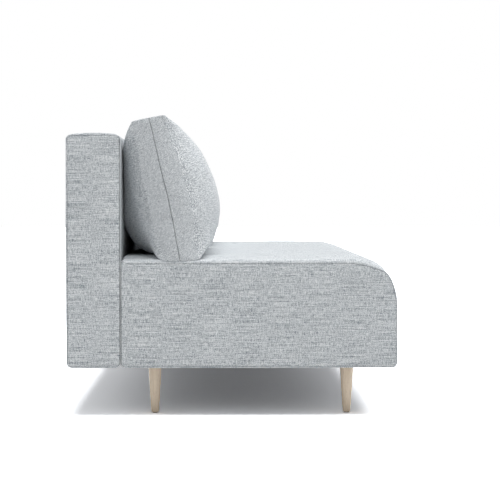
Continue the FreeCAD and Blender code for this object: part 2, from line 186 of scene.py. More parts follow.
class Nodes:
    """A short way to write the nodes of a material or of the world."""

    def __init__(self, owner, kind="Material"):
        owner.use_nodes = True
        self.owner = owner
        self.tree = owner.node_tree
        self.tree.nodes.clear()
        self.output = self.tree.nodes.new(f"ShaderNodeOutput{kind}")

    def add(self, kind, settings=None, **inputs):
        """A node with its settings, and its inputs by name: each a value or a node's output."""
        node = self.tree.nodes.new(f"ShaderNode{kind}")
        for key, value in (settings or {}).items():
            setattr(node, key, value)
        for key, value in inputs.items():
            self.put(node, key.replace("_", " "), value)
        return node

    def put(self, node, socket, value):
        """Sets or links one input."""
        place = int(socket) if socket.isdigit() else socket
        if isinstance(value, bpy.types.NodeSocket):
            self.tree.links.new(value, node.inputs[place])
        else:
            node.inputs[place].default_value = value

    def math(self, operation, first, second=0.0, clamp=False):
        """One sum on two values."""
        node = self.tree.nodes.new("ShaderNodeMath")
        node.operation = operation
        node.use_clamp = clamp
        self.put(node, "0", first)
        self.put(node, "1", second)
        return node.outputs[0]

    def span(self, value, low, high, new_low, new_high):
        """A value from one range, moved to another and held inside it."""
        ends = {"From_Min": low, "From_Max": high, "To_Min": new_low, "To_Max": new_high}
        return self.add("MapRange", None, Value=value, **ends).outputs[0]

    def streaks(self, coordinates, scale, detail, rough=0.5):
        """Noise stretched by a scale for each axis."""
        mapping = self.add("Mapping", None, Vector=coordinates, Scale=scale)
        place = mapping.outputs[0]
        node = self.add("TexNoise", None, Vector=place, Scale=1.0, Detail=detail, Roughness=rough)
        return node.outputs["Fac"]

    def mix(self, share, first, second, blend="MIX"):
        """Two colours mixed."""
        node = self.tree.nodes.new("ShaderNodeMix")
        node.data_type = "RGBA"
        node.blend_type = blend
        self.put(node, "0", share)
        self.put(node, "6", first)
        self.put(node, "7", second)
        return node.outputs[2]

    def join(self, shader):
        """Joins the last shader to the output."""
        self.tree.links.new(shader.outputs[0], self.output.inputs[0])
        return self.owner

    def finish(self, **inputs):
        """The surface shader, joined to the output."""
        return self.join(self.add("BsdfPrincipled", None, **inputs))


def material_nodes(name):
    """The nodes of a new material."""
    return Nodes(bpy.data.materials.new(name))


def slub_cloth(name, slubs, contrast):
    """Pale blue-grey plain weave with darker and lighter slubs, laid out by the map named weave, with
    painted shade in its seams and beside the joint.
    """
    n = material_nodes(name)
    weave = n.add("UVMap", {"uv_map": "weave"}).outputs[0]
    long_slubs = n.streaks(weave, (10, 700, 1), 1.0)
    weft = n.streaks(weave, (60, 620, 1), 1.0)
    warp = n.streaks(weave, (450, 60, 1), 1.0)
    speckle = n.streaks(weave, (460, 460, 1), 0.0)
    cloud = n.streaks(weave, (5, 6, 1), 2.0)
    warp_share, fine_share = 1.2, 3.0 - slubs
    middle = (slubs + 1.0 + warp_share + fine_share) / 2
    tone = n.math("ADD", n.math("MULTIPLY", long_slubs, slubs), weft)
    tone = n.math("ADD", tone, n.math("MULTIPLY", warp, warp_share))
    tone = n.math("ADD", tone, n.math("MULTIPLY", speckle, fine_share))
    tone = n.math("MULTIPLY", n.math("SUBTRACT", tone, middle), contrast)
    yarn = linear(200, 205, 208)
    dark_yarn = linear(104, 114, 124)
    light_yarn = linear(240, 242, 243)
    reach = 0.42
    colour = n.mix(n.span(tone, 0.0, -reach, 0.0, 1.0), yarn, dark_yarn)
    colour = n.mix(n.span(tone, 0.0, reach, 0.0, 1.0), colour, light_yarn)
    # Painted shade: the per-point attribute darkens the colour to 0.30 of itself in the seams' grooves,
    # and on the rolls beside the joint of seat and back.
    shade_share = n.add("Attribute", {"attribute_name": "seam"}).outputs["Fac"]
    clouds, painted_shade = n.span(cloud, 0.3, 0.7, 0.975, 1.02), n.span(shade_share, 0.0, 1.0, 1.0, 0.30)
    shade = n.math("MULTIPLY", clouds, painted_shade)
    grey = n.add("CombineColor", None, Red=shade, Green=shade, Blue=shade).outputs[0]
    colour = n.mix(1.0, colour, grey, "MULTIPLY")
    threads = n.add("SeparateXYZ", None, Vector=weave)
    pitch = 2 * math.pi / THREAD_PITCH
    across = n.math("SINE", n.math("MULTIPLY", threads.outputs[0], pitch))
    along = n.math("SINE", n.math("MULTIPLY", threads.outputs[1], pitch))
    thread = n.math("MULTIPLY", across, along)
    relief = n.math("ADD", n.math("MULTIPLY", thread, 0.25), n.math("ADD", weft, warp))
    bump = n.add("Bump", None, Height=relief, Strength=0.35, Distance=0.0007)
    return n.finish(
        Base_Color=colour,
        Roughness=0.92,
        Normal=bump.outputs[0],
        Sheen_Weight=0.12,
        Sheen_Roughness=0.55,
    )


def beech(name):
    """Pale beech with fine upright grain and short flecks, under a matt lacquer."""
    n = material_nodes(name)
    place = n.add("TexCoord").outputs["Object"]
    grain = n.streaks(place, (260, 260, 7), 4.0, 0.6)
    broad = n.streaks(place, (40, 40, 2.5), 2.0, 0.5)
    flecks = n.span(n.streaks(place, (900, 900, 60), 1.0, 0.5), 0.62, 0.72, 0.0, 1.0)
    pale, warm = linear(240, 222, 198), linear(226, 206, 180)
    colour = n.mix(n.span(grain, 0.35, 0.65, 0.0, 1.0), pale, warm)
    colour = n.mix(n.span(broad, 0.4, 0.7, 0.0, 0.5), colour, linear(230, 212, 188))
    colour = n.mix(n.math("MULTIPLY", flecks, 0.45), colour, linear(160, 126, 96))
    bump = n.add("Bump", None, Height=grain, Strength=0.15, Distance=0.0003)
    return n.finish(
        Base_Color=colour,
        Roughness=n.span(grain, 0.3, 0.7, 0.42, 0.55),
        Normal=bump.outputs[0],
        Coat_Weight=0.15,
        Coat_Roughness=0.35,
    )


def raw_timber(name, light, dark, stretch=(60, 3, 60)):
    """Bare sawn wood with grain along its longest way."""
    n = material_nodes(name)
    place = n.add("TexCoord").outputs["Object"]
    grain = n.streaks(place, stretch, 4.0, 0.6)
    colour = n.mix(n.span(grain, 0.35, 0.65, 0.0, 1.0), light, dark)
    bump = n.add("Bump", None, Height=grain, Strength=0.2, Distance=0.0006)
    return n.finish(Base_Color=colour, Roughness=0.75, Normal=bump.outputs[0])


def fibre_cloth(name, light, dark, size):
    """Felted or foamed stuff: fine speckle in two tones."""
    n = material_nodes(name)
    place = n.add("TexCoord").outputs["Object"]
    fine = n.streaks(place, (size, size, size), 2.0, 0.7)
    colour = n.mix(n.span(fine, 0.35, 0.65, 0.0, 1.0), light, dark)
    bump = n.add("Bump", None, Height=fine, Strength=0.3, Distance=0.0006)
    return n.finish(Base_Color=colour, Roughness=0.95, Normal=bump.outputs[0])


def plated_steel(name):
    """Zinc-plated steel with fine scuffs."""
    n = material_nodes(name)
    place = n.add("TexCoord").outputs["Object"]
    scuffs = n.streaks(place, (500, 60, 500), 3.0, 0.6)
    colour = n.mix(scuffs, linear(196, 196, 190), linear(160, 160, 156))
    return n.finish(Base_Color=colour, Metallic=1.0, Roughness=n.span(scuffs, 0.3, 0.7, 0.3, 0.5))


def moulded_plastic(name, light, dark):
    """Matt moulded plastic with a faint spark-eroded texture."""
    n = material_nodes(name)
    place = n.add("TexCoord").outputs["Object"]
    fine = n.streaks(place, (1500, 1500, 1500), 1.0, 0.5)
    colour = n.mix(fine, light, dark)
    bump = n.add("Bump", None, Height=fine, Strength=0.15, Distance=0.0002)
    return n.finish(Base_Color=colour, Roughness=0.55, Normal=bump.outputs[0])


# Mesh helpers


class Sheet:
    """A mesh made of grids of points, welded where they meet and mapped to the weave."""

    def __init__(self, name):
        self.name = name
        self.mesh = bmesh.new()
        self.weave = self.mesh.loops.layers.uv.new("weave")
        # Per point: the seam, and how much painted shade the cloth material lays on it.
        self.seam = self.mesh.verts.layers.float.new("seam")

    def patch(self, points, weave, closed=False, seam_and_painted_shades=None):
        """A grid of rows of points. Weave gives each point's place on the cloth, in metres."""
        rows = []
        for i, row in enumerate(points):
            made = []
            for j, point in enumerate(row):
                vert = self.mesh.verts.new(point)
                vert[self.seam] = seam_and_painted_shades[i][j] if seam_and_painted_shades else 0.0
                made.append(vert)
            rows.append(made)
        for i in range(len(rows) - 1):
            width = len(rows[i])
            for j in range(width if closed else width - 1):
                k = (j + 1) % width
                corners = (rows[i][j], rows[i][k], rows[i + 1][k], rows[i + 1][j])
                places = (weave[i][j], weave[i][j + 1], weave[i + 1][j + 1], weave[i + 1][j])
                face = self.mesh.faces.new(corners)
                face.smooth = True
                for loop, place in zip(face.loops, places):
                    loop[self.weave].uv = place

    def piece(self, material, thickness=0.0, weld=0.0):
        """The finished object."""
        if weld:
            bmesh.ops.remove_doubles(self.mesh, verts=self.mesh.verts, dist=weld)
        bmesh.ops.recalc_face_normals(self.mesh, faces=self.mesh.faces)
        data = bpy.data.meshes.new(self.name)
        self.mesh.to_mesh(data)
        self.mesh.free()
        data.materials.append(material)
        obj = bpy.data.objects.new(self.name, data)
        bpy.context.scene.collection.objects.link(obj)
        if thickness:
            shell = obj.modifiers.new("cloth thickness", "SOLIDIFY")
            shell.thickness = thickness
            shell.offset = -1.0
        return obj


def arc(start, end, centre, steps):
    """Points from start to end round a centre, without the last one."""
    first = math.atan2(start[1] - centre[1], start[0] - centre[0])
    last = math.atan2(end[1] - centre[1], end[0] - centre[0])
    turn = (last - first + math.pi) % (2 * math.pi) - math.pi
    radius = math.hypot(start[0] - centre[0], start[1] - centre[1])
    points = []
    for i in range(steps):
        angle = first + turn * i / steps
        points.append((centre[0] + radius * math.cos(angle), centre[1] + radius * math.sin(angle)))
    return points


def line(start, end):
    """Points from start to end at about the outline's step, without the last one."""
    steps = max(1, round(math.dist(start, end) / OUTLINE_STEP))
    dy, dz = end[0] - start[0], end[1] - start[1]
    return [(start[0] + dy * i / steps, start[1] + dz * i / steps) for i in range(steps)]


def rounded(tip, start, end):
    """A quarter circle in place of a corner at tip."""
    centre = (start[0] + end[0] - tip[0], start[1] + end[1] - tip[1])
    return arc(start, end, centre, CORNER_STEPS)


def front_edge():
    """The seat's plump front edge from the top to the front: a tight arc between two flatter ones."""
    turn, reach, nose = FRONT_TURN, FRONT_REACH, FRONT_NOSE
    sin, cos = math.sin(turn), math.cos(turn)
    flank = (reach - nose * (cos - sin)) / (sin + 1 - cos)
    y, z = FRONT_FACE + reach, SEAT_TOP
    points = []
    for radius, first, last, steps in (
        (flank, 0, turn, 10),
        (nose, turn, QUARTER - turn, 9),
        (flank, QUARTER - turn, QUARTER, 10),
    ):
        for i in range(steps):
            angle = first + (last - first) * i / steps
            along = radius * (math.sin(angle) - math.sin(first))
            down = radius * (math.cos(first) - math.cos(angle))
            points.append((y - along, z - down))
        y -= radius * (math.sin(last) - math.sin(first))
        z -= radius * (math.cos(first) - math.cos(last))
    return points, (y, z)


def seat_outline():
    """The seat cover's outline as (y, z), from the joint's hem over the top to the front hem."""
    r = CORNER_RADIUS
    front, joint, low, top = FRONT_FACE, JOINT_FACE, HEM_LEVEL, SEAT_TOP
    points = line((joint - JOINT_HEM_WIDTH, low), (joint - r, low))
    points += rounded((joint, low), (joint - r, low), (joint, low + r))
    points += line((joint, low + r), (joint, top - r))
    points += rounded((joint, top), (joint, top - r), (joint - r, top))
    nose, nose_end = front_edge()
    points += line((joint - r, top), nose[0])
    points += nose
    points += line(nose_end, (front, low + r))
    points += rounded((front, low), (front, low + r), (front + r, low))
    points += line((front + r, low), (front + HEM_WIDTH, low))
    points.append((front + HEM_WIDTH, low))
    return points


def back_outline():
    """The back cover's outline as (y, z), from the rear hem over the top to the joint's hem."""
    r = CORNER_RADIUS
    front, rear, low, top = JOINT_FACE, REAR_FACE, HEM_LEVEL, BACK_TOP
    points = line((rear - HEM_WIDTH, low), (rear - r, low))
    points += rounded((rear, low), (rear - r, low), (rear, low + r))
    points += line((rear, low + r), (rear, top - r))
    points += rounded((rear, top), (rear, top - r), (rear - r, top))
    points += line((rear - r, top), (front + r, top))
    points += rounded((front, top), (front + r, top), (front, top - r))
    points += line((front, top - r), (front, low + r))
    points += rounded((front, low), (front, low + r), (front + r, low))
    points += line((front + r, low), (front + JOINT_HEM_WIDTH, low))
    points.append((front + JOINT_HEM_WIDTH, low))
    return points


def normals(points):
    """The outward normal at each point of an outline that runs over the top to the front."""
    found = []
    for i in range(len(points)):
        before, after = points[max(i - 1, 0)], points[min(i + 1, len(points) - 1)]
        dy, dz = after[0] - before[0], after[1] - before[1]
        length = math.hypot(dy, dz)
        found.append((dz / length, -dy / length))
    return found


def distances(points):
    """How far along the outline each point lies."""
    far = [0.0]
    for before, after in zip(points, points[1:]):
        far.append(far[-1] + math.dist(before, after))
    return far


def seat_crown(x):
    """How far the seat's top stands above its nominal level, along the length."""
    by_end = smooth(SEAT_CROWN_END, HALF_LENGTH - SEAT_TOP_ROLL, abs(x))
    return SEAT_CROWN - (SEAT_CROWN + SEAT_END_DIP) * by_end


def seat_swell(x, y, z, out_z):
    """How far the seat's cover stands out: crowned on top, and full low down in front."""
    up = max(out_z, 0.0)
    top = seat_crown(x) + SEAT_FORWARD_RISE * smooth(0.08, -0.10, y)
    rise = math.sin(math.pi * smooth(HEM_LEVEL, SEAT_TOP, z))
    front = SEAT_FRONT_SWELL * rise if y < 0 else 0.0
    return top * up * up + front * (1 - up)


def back_swell(_, y, z, out_z):
    """How far the back's cover stands out: a low crown along the top, and full behind."""
    middle = (JOINT_FACE + REAR_FACE) / 2
    share = (y - middle) / (REAR_FACE - middle)
    up = max(out_z, 0.0)
    rise = math.sin(math.pi * smooth(HEM_LEVEL, BACK_TOP, z))
    rear = BACK_REAR_SWELL * rise if y > middle else 0.0
    return (BACK_CROWN - BACK_CROWN_FALL * share * share) * up * up + rear * (1 - up)


def unevenness(x, y, z):
    """The soft waves that a stretched cover has."""
    spot = Vector((x * 5.5, y * 5.5, z * 5.5))
    fine = Vector((x * 17 + 9, y * 17, z * 17))
    return 0.0006 * noise.noise(spot) + 0.00025 * noise.noise(fine)


def dress(piece, body, nodes):
    """Ties a soft piece to its body, and hides the nodes that it stands for."""
    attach(piece, body)
    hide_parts(*nodes)


def rim_rolls(outs, joint_way, top_roll, top_seam_shade_shown):
    """For each point of an outline: the roll into the end, how much of the seam's painted shade shows,
    and the painted shade beside the joint.
    """
    rolls, seam_shade_shown, joint_painted_shade = [], [], []
    for out_y, out_z in outs:
        by_joint = smooth(0.6, 1.0, out_y * joint_way)
        roll = SIDE_ROLL + (JOINT_ROLL - SIDE_ROLL) * by_joint
        rolls.append(roll + (top_roll - SIDE_ROLL) * smooth(0.60, 1.0, out_z))
        on_top = SEAM_SHADE_SHOWN + (top_seam_shade_shown - SEAM_SHADE_SHOWN) * smooth(0.3, 0.8, out_z)
        seam_shade_shown.append(max(on_top, JOINT_SEAM_SHADE_SHOWN * by_joint))
        joint_painted_shade.append(JOINT_PAINTED_SHADE * by_joint)
    return rolls, seam_shade_shown, joint_painted_shade


def cover_rings(band, outline, outs, swell, rims):
    """The band round a unit's length, as rings from the seam of one end to the seam of the other."""
    rolls, seam_shade_shown, joint_painted_shade = rims
    far = distances(outline)
    rows, weave, seam_and_painted_shades = [], [], []

    def ring(side, angle, x_flat=None, sink=0.0, past=0.0):
        """One ring of the band: on the flat run, or an angle into the roll of an end."""
        row = []
        for (y, z), out, roll in zip(outline, outs, rolls):
            inset = roll * (1 - math.cos(angle)) + past
            x = x_flat
            if x is None:
                x = side * (HALF_LENGTH - roll * (1 - math.sin(angle)) - sink)
            lift = (swell(x, y, z, out[1]) + unevenness(x, y, z)) * math.cos(angle)
            row.append(Vector((x, y + out[0] * (lift - inset), z + out[1] * (lift - inset))))
        return row

    def keep(row, side, angle, seam, x=0.0):
        """Adds a ring with its place on the cloth and its painted shade."""
        rows.append(row)
        along = [side * (HALF_LENGTH - roll * (1 - angle)) if side else x for roll in rolls]
        weave.append(list(zip(far, along)))
        # Painted shade: the seam's rows darken, and the roll darkens beside the joint as it turns into
        # the end.
        turned = smooth(0.0, 0.6, angle)
        seam_and_painted_shades.append([max(seam * share, turned * shade) for share, shade in zip(seam_shade_shown, joint_painted_shade)])

    def keep_seam(side, angle):
        """Adds the ring that dips into the seam."""
        row = ring(side, angle, sink=SEAM_DEPTH, past=SEAM_HALF_WIDTH)
        keep(row, side, angle + SEAM_TUCK, 1.0)

    for step in range(ROLL_STEPS, -1, -1):
        angle = QUARTER * step / ROLL_STEPS
        if step == ROLL_STEPS:
            keep_seam(-1, angle)
        keep(ring(-1, angle), -1, angle, 0.0)
    flat_half = HALF_LENGTH - max(rolls)
    ring_count = round(2 * HALF_LENGTH / RING_STEP)
    for i in range(1, ring_count):
        x = -flat_half + 2 * flat_half * i / ring_count
        keep(ring(1, 0.0, x_flat=x), 0, 0.0, 0.0, x)
    for step in range(ROLL_STEPS + 1):
        angle = QUARTER * step / ROLL_STEPS
        keep(ring(1, angle), 1, angle, 0.0)
        if step == ROLL_STEPS:
            keep_seam(1, angle)
    band.patch(rows, weave, seam_and_painted_shades=seam_and_painted_shades)


def end_hem(band, under, side):
    """The strip that turns in under one end, from the seam to the hem."""
    strip = []
    for step in range(ROLL_STEPS, -1, -1):
        angle = QUARTER * step / ROLL_STEPS
        x = side * (HALF_LENGTH - SIDE_ROLL * (1 - math.sin(angle)))
        z = HEM_LEVEL + SIDE_ROLL * (1 - math.cos(angle))
        if step == ROLL_STEPS:
            seam_x, seam_z = x - side * SEAM_DEPTH, z + SEAM_HALF_WIDTH
            strip.append([Vector((seam_x, y, seam_z)) for y, _ in under])
        strip.append([Vector((x, y, z)) for y, _ in under])
    strip.append([Vector((side * (HALF_LENGTH - HEM_WIDTH), y, HEM_LEVEL)) for y, _ in under])
    places = [[(p.y, p.x + p.z) for p in row] for row in strip]
    # Painted shade along the seam's row.
    hem_painted_shade = [[SEAM_SHADE_SHOWN] * len(under)] + [[0.0] * len(under)] * (len(strip) - 1)
    band.patch(strip, places, seam_and_painted_shades=hem_painted_shade)


def end_panel(name, side, rim, seam_shade_shown, middle):
    """The panel let into one end: it rises from the seam and closes in rings towards its middle."""
    middle_y, middle_z = middle
    rows, weave, seam_and_painted_shades = [], [], []
    # The rows by the rim take the seam's painted shade.
    for inwards, lift, seam in PANEL_EDGE:
        row, place = [], []
        for y, z, out in rim:
            y1, z1 = y - out[0] * inwards, z - out[1] * inwards
            row.append(Vector((side * (HALF_LENGTH + lift), y1, z1)))
            place.append((y1, z1))
        rows.append(row)
        weave.append(place + place[:1])
        seam_and_painted_shades.append([seam * share for share in seam_shade_shown])
    inner = [(p.y, p.z) for p in rows[-1]]
    for step in range(1, PANEL_RINGS):
        share = 1 - step / PANEL_RINGS
        row, place = [], []
        for y, z in inner:
            y1, z1 = middle_y + (y - middle_y) * share, middle_z + (z - middle_z) * share
            waves = PANEL_WAVES * unevenness(side * 3.0, y1, z1)
            lift = PANEL_LIFT + PANEL_SWELL * smooth(1.0, 0.8, share) + waves
            row.append(Vector((side * (HALF_LENGTH + lift), y1, z1)))
            place.append((y1, z1))
        rows.append(row)
        weave.append(place + place[:1])
        seam_and_painted_shades.append([0.0] * len(row))
    panel = Sheet(name)
    panel.patch(rows, weave, closed=True, seam_and_painted_shades=seam_and_painted_shades)
    panel.mesh.verts.ensure_lookup_table()
    cap = panel.mesh.faces.new(panel.mesh.verts[-len(rim):])
    cap.smooth = True
    for loop in cap.loops:
        loop[panel.weave].uv = (loop.vert.co.y, loop.vert.co.z)
    return panel


def unit_cover(prefix, outline, swell, joint_way, top_roll, top_seam_shade_shown, cloth, nodes):
    """A unit's cover: the band round its length and the panel let into each end."""
    outs = normals(outline)
    rims = rim_rolls(outs, joint_way, top_roll, top_seam_shade_shown)
    band = Sheet(f"{prefix}_cover")
    cover_rings(band, outline, outs, swell, rims)
    under = line(outline[-1], outline[0]) + [outline[0]]
    for side in (-1, 1):
        end_hem(band, under, side)
    dress(band.piece(cloth, thickness=COVER_CLOTH, weld=0.0001), "sofa", nodes[0])
    ys, zs = [p[0] for p in outline], [p[1] for p in outline]
    middle = (min(ys) + max(ys)) / 2, (min(zs) + max(zs)) / 2
    bottom = line(outline[-1], outline[0])[1:]
    closed_outs = outs + [(0.0, -1.0)] * len(bottom)
    closed_rolls = rims[0] + [SIDE_ROLL] * len(bottom)
    # The bottom's points take the seam's painted shade too.
    closed_seam_shade_shown = rims[1] + [SEAM_SHADE_SHOWN] * len(bottom)
    rim = []
    for (y, z), out, roll in zip(outline + bottom, closed_outs, closed_rolls):
        inset = roll + SEAM_HALF_WIDTH
        rim.append((y - out[0] * inset, z - out[1] * inset, out))
    for side, end, stood_for in ((-1, "left", nodes[1]), (1, "right", nodes[2])):
        panel = end_panel(f"{prefix}_{end}_end_panel", side, rim, closed_seam_shade_shown, middle)
        dress(panel.piece(cloth), "sofa", stood_for)


# Cushions


def belly(is_front, z):
    """How far the cushion's face stands off its seam plane at a height, where it is fullest."""
    if is_front:
        full, full_at, foot, roundness = FRONT_BELLY, FRONT_BELLY_HEIGHT, FRONT_FOOT, FRONT_ROUND
    else:
        full, full_at, foot, roundness = REAR_BELLY, REAR_BELLY_HEIGHT, REAR_FOOT, REAR_ROUND
    if z > full_at:
        share = min((z - full_at) / (CUSHION_HEIGHT - full_at), 1.0)
        return full - (full - BOXING / 2) * share**roundness
    share = min((full_at - z) / (full_at - CUSHION_FOOT), 1.0)
    round_drop = 1 - math.sqrt(1 - share * share)
    flat_drop = share * share
    return full - (full - foot) * (FOOT_ROUND_SHARE * round_drop + (1 - FOOT_ROUND_SHARE) * flat_drop)


def depth(is_front, x, z):
    """How far the cushion's face stands off its seam plane at a place."""
    whole = belly(is_front, z)
    reach, power = (FRONT_END_SWELL, FRONT_END_POWER) if is_front else (REAR_END_SWELL, REAR_END_POWER)
    into = min((CUSHION_HALF - abs(x)) / reach, 1.0)
    middle = smooth(0.0, 0.12, z) * smooth(CUSHION_HEIGHT, 0.25, z)
    edge = min(whole, BOXING / 2 + END_FULLNESS * middle)
    swell = math.sin(QUARTER * into) ** power if into > 0 else 0.0
    inner = smooth(0.04, 0.22, CUSHION_HALF - abs(x))
    pinch = 1 - TOP_PINCH * inner * smooth(0.30, CUSHION_HEIGHT, z)
    return (edge + (whole - edge) * swell) * pinch


def fit_to_bellies(obj):
    """Brings the filled cushion back to its measured depths, band by band up its height."""
    bands = 40
    step = (CUSHION_HEIGHT - CUSHION_FOOT) / bands
    for way, is_front in ((-1, True), (1, False)):
        fullest = [0.0] * (bands + 1)
        for vert in obj.data.vertices:
            band = round((vert.co.z - CUSHION_FOOT) / step)
            if 0 <= band <= bands:
                fullest[band] = max(fullest[band], way * vert.co.y)
        shares = []
        for band, found in enumerate(fullest):
            wanted = belly(is_front, CUSHION_FOOT + band * step)
            shares.append(min(max(wanted / max(found, 0.02), 0.8), 1.25))
        even = []
        for i in range(bands + 1):
            near = shares[max(i - 2, 0):i + 3]
            even.append(sum(near) / len(near))
        for vert in obj.data.vertices:
            if way * vert.co.y > 0:
                place = min(max((vert.co.z - CUSHION_FOOT) / step, 0.0), bands - 0.001)
                low = int(place)
                vert.co.y *= even[low] + (even[low + 1] - even[low]) * (place - low)


def fit_to_box(obj):
    """Brings the filled cushion back to its length and height, and fills out its hidden rear."""
    xs = [v.co.x for v in obj.data.vertices]
    zs = [v.co.z for v in obj.data.vertices]
    left, right, low, high = min(xs), max(xs), min(zs), max(zs)
    for vert in obj.data.vertices:
        x, y, z = vert.co
        x = CUSHION_HALF * (2 * (x - left) / (right - left) - 1)
        z = CUSHION_FOOT + (CUSHION_HEIGHT + TOP_CROWN - CUSHION_FOOT) * (z - low) / (high - low)
        y *= 1 + TOP_CORNER_WIDENING * smooth(CUSHION_HEIGHT - 0.06, CUSHION_HEIGHT, z)
        if y > 0:
            inner = smooth(0.06, 0.22, CUSHION_HALF - abs(x))
            y += HIDDEN_BULGE * inner * smooth(0.0, 0.07, z) * smooth(0.26, 0.15, z)
        vert.co = (x, y, z)


def spaced(length, step, near):
    """Places from 0 to 1 along a length, closer together by both ends."""
    count = max(4, round(length / step))
    places = [i / count for i in range(count + 1)]
    close = [near / length, 2.6 * near / length]
    inner = [p for p in places if close[-1] * 1.6 < p < 1 - close[-1] * 1.6]
    return [0.0] + close + inner + [1 - p for p in reversed(close)] + [1.0]


def cushion_mesh(name):
    """The cushion before it is filled: its faces, with the seam round the middle of the narrow ones."""
    sheet = Sheet(name)
    us = spaced(2 * CUSHION_HALF, CUSHION_CELL, 0.004)
    vs = spaced(CUSHION_HEIGHT - CUSHION_FOOT, CUSHION_CELL, 0.004)
    xs = [-CUSHION_HALF + 2 * CUSHION_HALF * u for u in us]
    zs = [CUSHION_FOOT + (CUSHION_HEIGHT - CUSHION_FOOT) * v for v in vs]
    half_box = [0.0, 0.0016, 0.004, 0.012, 0.021, 0.030, 0.039, 0.047]
    shares = [b / half_box[-1] for b in half_box]
    # The seam's points: the filling holds them in, the groove draws them in, and the cloth material
    # darkens them with painted shade.
    seam = [1.0 if s == 0 else 0.0 for s in shares]
    for is_front, way in ((True, -1), (False, 1)):
        face = [[Vector((x, way * depth(is_front, x, z), z)) for x in xs] for z in zs]
        start = 0.7 if is_front else 1.9
        weave = [[(z + start, x) for x in xs] for z in zs]
        sheet.patch(face, weave)
        for x in (xs[0], xs[-1]):
            strip, place = [], []
            for z in zs:
                edge = depth(is_front, x, z)
                strip.append([Vector((x, way * edge * s, z)) for s in shares])
                outs = [way * s * edge for s in shares]
                place.append([(1.25 * z + 0.6 * out, 1.4 * out - 0.5 * z) for out in outs])
            sheet.patch(strip, place, seam_and_painted_shades=[seam] * len(zs))
        for z in (zs[0], zs[-1]):
            up = 1 if z > 0 else -1
            strip, place = [], []
            for x in xs:
                edge = depth(is_front, x, z)
                strip.append([Vector((x, way * edge * s, z)) for s in shares])
                place.append([(z + up * (1 - s) * edge + start, x) for s in shares])
            sheet.patch(strip, place, seam_and_painted_shades=[seam] * len(xs))
    return sheet


def fill_with_pressure(obj):
    """Blows the cushion up as cloth, and keeps each point within reach of where it was."""
    start = [v.co.copy() for v in obj.data.vertices]
    cloth = obj.modifiers.new("filling", "CLOTH")
    settings = cloth.settings
    settings.quality = 5
    settings.mass = 0.25
    settings.tension_stiffness = 12
    settings.compression_stiffness = 12
    settings.shear_stiffness = 6
    settings.bending_stiffness = 0.4
    settings.use_pressure = True
    settings.uniform_pressure_force = PRESSURE
    settings.effector_weights.gravity = 0
    seam_group = obj.vertex_groups.new(name="seam")
    for vert, value in zip(obj.data.vertices, obj.data.attributes["seam"].data):
        seam_group.add([vert.index], 1.0 if value.value > 0.5 else 0.0, "REPLACE")
    settings.vertex_group_shrink = "seam"
    settings.shrink_max = 0.0
    cloth.collision_settings.use_collision = False
    scene = bpy.context.scene
    scene.frame_start, scene.frame_end = 1, SIM_FRAMES
    for step in range(1, SIM_FRAMES + 1):
        scene.frame_set(step)
    filled = obj.evaluated_get(bpy.context.evaluated_depsgraph_get())
    moved = [v.co.copy() for v in filled.to_mesh().vertices]
    obj.modifiers.remove(cloth)
    obj.vertex_groups.remove(seam_group)
    scene.frame_set(1)
    for vert, first, last in zip(obj.data.vertices, start, moved):
        shift = last - first
        if shift.length > SIM_REACH:
            shift *= SIM_REACH / shift.length
        vert.co = first + shift


def press(value, limit, soft):
    """A value held above a limit, with a soft bend near it."""
    over = value - limit
    if over > soft:
        return value
    if over < -soft:
        return limit
    return limit + (over + soft) ** 2 / (4 * soft)


def lean_and_rest(obj, side):
    """Leans the cushion back, and flattens it where it meets the seat, back and neighbour."""
    centre = side * (HALF_LENGTH / 2 + CUSHION_GAP / 4)
    sin, cos = math.sin(-CUSHION_LEAN), math.cos(-CUSHION_LEAN)
    for vert in obj.data.vertices:
        x, y, z = vert.co
        y, z = y * cos - z * sin, y * sin + z * cos
        x = x + centre
        y = y + JOINT_FACE - CUSHION_SETBACK
        z = z + SEAT_TOP + SEAT_CROWN - CUSHION_SINK
        low = smooth(END_SETTLE, 0.0, z - SEAT_TOP)
        by_end = low * smooth(HALF_LENGTH - END_SETTLE, HALF_LENGTH, side * x)
        x = x + side * END_OVERHANG * by_end
        z = z - END_SAG * by_end
        y = -press(-y, -(JOINT_FACE - CONTACT_GAP), 0.004)
        past = min(max((side * x - HALF_LENGTH + SEAT_TOP_ROLL) / SEAT_TOP_ROLL, 0.0), 1.0)
        over_end = SEAT_TOP_ROLL * (1 - math.sqrt(1 - past * past))
        z = press(z, SEAT_TOP + seat_crown(x) + CONTACT_GAP - over_end, 0.005)
        x = side * press(side * x, CONTACT_GAP, 0.003)
        vert.co = (x, y, z)


def groove_seams(obj):
    """Draws the seam's points in along their normals."""
    data = obj.data
    seam = data.attributes["seam"].data
    ways = [v.normal.copy() for v in data.vertices]
    for vert, value, way in zip(data.vertices, seam, ways):
        vert.co -= way * CUSHION_SEAM_DEPTH * value.value


def cushion(side, cloth):
    """One loose back cushion."""
    name = "left" if side < 0 else "right"
    obj = cushion_mesh(f"{name}_cushion_cover").piece(cloth, weld=0.0002)
    for vert in obj.data.vertices:
        x, y, z = vert.co
        lump = LUMP_HEIGHT * noise.noise(Vector((x * 7 + 31 * side, y * 7, z * 7)))
        crown = TOP_RISE * smooth(0.0, 0.35, CUSHION_HALF - abs(x)) * smooth(0.20, CUSHION_HEIGHT, z)
        tilt = (TOP_LIFT + TOP_TILT * y) * smooth(0.30, CUSHION_HEIGHT, z)
        height = SLACK_MIDDLE + (z + crown + tilt - SLACK_MIDDLE) * SLACK[2]
        vert.co = (x * SLACK[0], y * SLACK[1] + lump, height)
    fill_with_pressure(obj)
    fit_to_bellies(obj)
    fit_to_box(obj)
    lean_and_rest(obj, side)
    groove_seams(obj)
    fine = obj.modifiers.new("fine", "SUBSURF")
    fine.levels = fine.render_levels = 1
    nodes = [f"cushion_{name}_{part}" for part in ("front_panel", "rear_panel", "filling")]
    dress(obj, f"{name}_cushion", nodes)


# Legs


